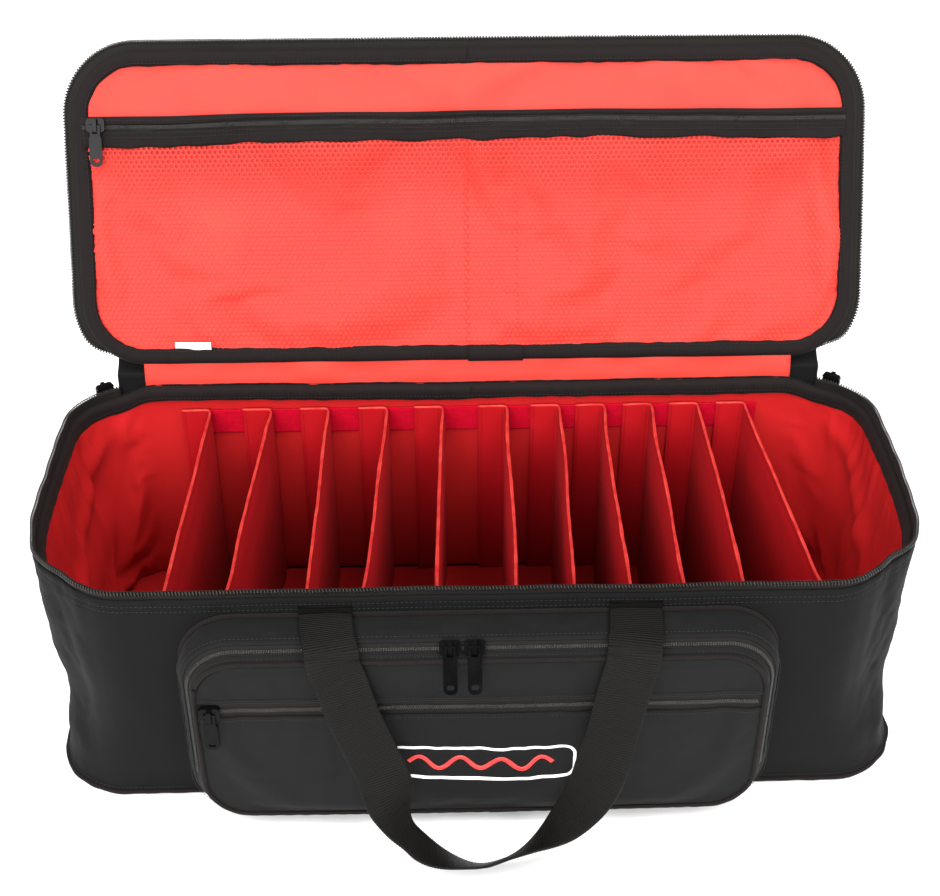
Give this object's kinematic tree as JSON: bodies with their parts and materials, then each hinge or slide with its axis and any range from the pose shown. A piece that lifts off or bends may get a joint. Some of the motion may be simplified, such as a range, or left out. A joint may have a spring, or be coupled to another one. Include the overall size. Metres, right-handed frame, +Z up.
{
  "type": "padded cable organiser bag",
  "caption": "Soft rectangular padded case with a hinged zip lid, upright lift-out dividers, a net lid pocket, a front zip pocket and webbing handles.",
  "frame": {"origin": "centre of the flat underside, on the surface that the bag stands on", "axes": "+X along the bag's length, +Y towards the hinge side, +Z up"},
  "size_m": [0.6568, 0.4721, 0.4575],
  "materials": {
    "outer_fabric": "plain woven nylon, matt",
    "red_lining": "smooth woven nylon, soft sheen",
    "foam": "closed-cell foam",
    "board": "stiff sheet",
    "binding": "ribbed tape",
    "zipper_tape": "twill tape",
    "zipper_coil": "nylon coil",
    "loop_tape": "loop pile",
    "net": "hexagonal knitted net",
    "label": "blank satin label",
    "print": "flat print",
    "black_metal": "gloss black lacquer",
    "webbing": "ribbed polypropylene webbing",
    "divider_cloth": "woven nylon over board"
  },
  "bodies": {
    "bag": {"base_fabric": "outer_fabric", "base_board": "board", "base_lining": "red_lining", "wall_fabric": "outer_fabric", "wall_foam": "foam", "wall_lining": "red_lining", "rim_binding": "binding", "rim_zipper_tape": "zipper_tape", "rim_zipper_coil": "zipper_coil", "loop_strips": "loop_tape", "hinge_outer_lower": "outer_fabric", "hinge_lining_lower": "red_lining", "pocket_gusset_rear": "outer_fabric", "pocket_gusset_front": "outer_fabric", "pocket_zipper_tape": "zipper_tape", "pocket_zipper_coil": "zipper_coil", "pocket_front_upper": "outer_fabric", "pocket_front_lower": "outer_fabric", "front_zip_tape": "zipper_tape", "front_zip_coil": "zipper_coil", "pocket_backing": "red_lining", "pocket_piping": "binding", "emblem": "print", "main_sliders": "black_metal"},
    "lid": {"lid_fabric": "outer_fabric", "lid_foam": "foam", "lid_lining": "red_lining", "lid_binding": "binding", "lid_zipper_tape": "zipper_tape", "lid_zipper_coil": "zipper_coil", "hinge_outer_upper": "outer_fabric", "hinge_lining_upper": "red_lining", "mesh_pocket": "net", "mesh_zip_tape": "zipper_tape", "mesh_zip_coil": "zipper_coil", "care_label": "label"},
    "handle_front_straps": {"handle_front_straps": "webbing"},
    "handle_front_loop": {"handle_front_loop": "webbing"},
    "handle_rear": {"handle_rear": "webbing"},
    "front_zip_slider": {"front_zip_slider": "black_metal"},
    "front_zip_pull": {"front_zip_pull": "black_metal"},
    "pocket_slider_left": {"pocket_slider_left": "black_metal"},
    "pocket_slider_right": {"pocket_slider_right": "black_metal"},
    "pocket_pull_left": {"pocket_pull_left": "black_metal"},
    "pocket_pull_right": {"pocket_pull_right": "black_metal"},
    "mesh_slider": {"mesh_slider": "black_metal"},
    "mesh_pull": {"mesh_pull": "black_metal"},
    "main_pull_left": {"main_pull_left": "black_metal"},
    "main_pull_right": {"main_pull_right": "black_metal"},
    "divider_01": {"divider_01": "divider_cloth"},
    "divider_02": {"divider_02": "divider_cloth"},
    "divider_03": {"divider_03": "divider_cloth"},
    "divider_04": {"divider_04": "divider_cloth"},
    "divider_05": {"divider_05": "divider_cloth"},
    "divider_06": {"divider_06": "divider_cloth"},
    "divider_07": {"divider_07": "divider_cloth"},
    "divider_08": {"divider_08": "divider_cloth"},
    "divider_09": {"divider_09": "divider_cloth"},
    "divider_10": {"divider_10": "divider_cloth"},
    "divider_11": {"divider_11": "divider_cloth"}
  },
  "joints": [
    {"name": "lid_hinge", "type": "hinge", "parent": "bag", "child": "lid", "pos_m": [0, 0.1355, 0.2085], "axis": [-1, 0, 0], "range_deg": [-115.7, 64]},
    {"name": "handle_front_lift", "type": "hinge", "parent": "bag", "child": "handle_front_straps", "pos_m": [0, -0.1365, 0.1812], "axis": [-1, 0, 0], "range_deg": [0, 85]},
    {"name": "handle_front_swing", "type": "hinge", "parent": "handle_front_straps", "child": "handle_front_loop", "pos_m": [0, -0.173, 0.1812], "axis": [-1, 0, 0], "range_deg": [0, 64]},
    {"name": "handle_rear_swing", "type": "hinge", "parent": "bag", "child": "handle_rear", "pos_m": [0, 0.13775, 0.1812], "axis": [-1, 0, 0], "range_deg": [-120, 0]},
    {"name": "front_zip_slide", "type": "slide", "parent": "bag", "child": "front_zip_slider", "axis": [1, 0, 0], "range_m": [0, 0.382]},
    {"name": "front_zip_pull_swing", "type": "hinge", "parent": "front_zip_slider", "child": "front_zip_pull", "pos_m": [-0.192, -0.1777, 0.124], "axis": [-1, 0, 0], "range_deg": [0, 150]},
    {"name": "pocket_slide_left", "type": "slide", "parent": "bag", "child": "pocket_slider_left", "axis": [-1, 0, 0], "range_m": [0, 0.053]},
    {"name": "pocket_pull_left_swing", "type": "hinge", "parent": "pocket_slider_left", "child": "pocket_pull_left", "pos_m": [-0.0215, -0.16805, 0.1767], "axis": [-1, 0, 0], "range_deg": [0, 150]},
    {"name": "pocket_slide_right", "type": "slide", "parent": "bag", "child": "pocket_slider_right", "axis": [1, 0, 0], "range_m": [0, 0.079]},
    {"name": "pocket_pull_right_swing", "type": "hinge", "parent": "pocket_slider_right", "child": "pocket_pull_right", "pos_m": [-0.0045, -0.16805, 0.1767], "axis": [-1, 0, 0], "range_deg": [0, 150]},
    {"name": "mesh_slide", "type": "slide", "parent": "lid", "child": "mesh_slider", "axis": [1, 0, 0], "range_m": [0, 0.6]},
    {"name": "mesh_pull_swing", "type": "hinge", "parent": "mesh_slider", "child": "mesh_pull", "pos_m": [-0.3, 0.21476, 0.39786], "axis": [-1, 0, 0], "range_deg": [0, 150]},
    {"name": "main_pull_left_swing", "type": "hinge", "parent": "bag", "child": "main_pull_left", "pos_m": [-0.3053, 0.12873, 0.2012], "axis": [-0.8387, -0.5446, 0], "range_deg": [-100, 0]},
    {"name": "main_pull_right_swing", "type": "hinge", "parent": "bag", "child": "main_pull_right", "pos_m": [0.3053, 0.12873, 0.2012], "axis": [-0.8387, 0.5446, 0], "range_deg": [-100, 0]},
    {"name": "divider_01_lift", "type": "slide", "parent": "bag", "child": "divider_01", "axis": [0, 0, 1], "range_m": [0, 0.23]},
    {"name": "divider_02_lift", "type": "slide", "parent": "bag", "child": "divider_02", "axis": [0, 0, 1], "range_m": [0, 0.23]},
    {"name": "divider_03_lift", "type": "slide", "parent": "bag", "child": "divider_03", "axis": [0, 0, 1], "range_m": [0, 0.23]},
    {"name": "divider_04_lift", "type": "slide", "parent": "bag", "child": "divider_04", "axis": [0, 0, 1], "range_m": [0, 0.23]},
    {"name": "divider_05_lift", "type": "slide", "parent": "bag", "child": "divider_05", "axis": [0, 0, 1], "range_m": [0, 0.23]},
    {"name": "divider_06_lift", "type": "slide", "parent": "bag", "child": "divider_06", "axis": [0, 0, 1], "range_m": [0, 0.23]},
    {"name": "divider_07_lift", "type": "slide", "parent": "bag", "child": "divider_07", "axis": [0, 0, 1], "range_m": [0, 0.23]},
    {"name": "divider_08_lift", "type": "slide", "parent": "bag", "child": "divider_08", "axis": [0, 0, 1], "range_m": [0, 0.23]},
    {"name": "divider_09_lift", "type": "slide", "parent": "bag", "child": "divider_09", "axis": [0, 0, 1], "range_m": [0, 0.23]},
    {"name": "divider_10_lift", "type": "slide", "parent": "bag", "child": "divider_10", "axis": [0, 0, 1], "range_m": [0, 0.23]},
    {"name": "divider_11_lift", "type": "slide", "parent": "bag", "child": "divider_11", "axis": [0, 0, 1], "range_m": [0, 0.23]}
  ]
}
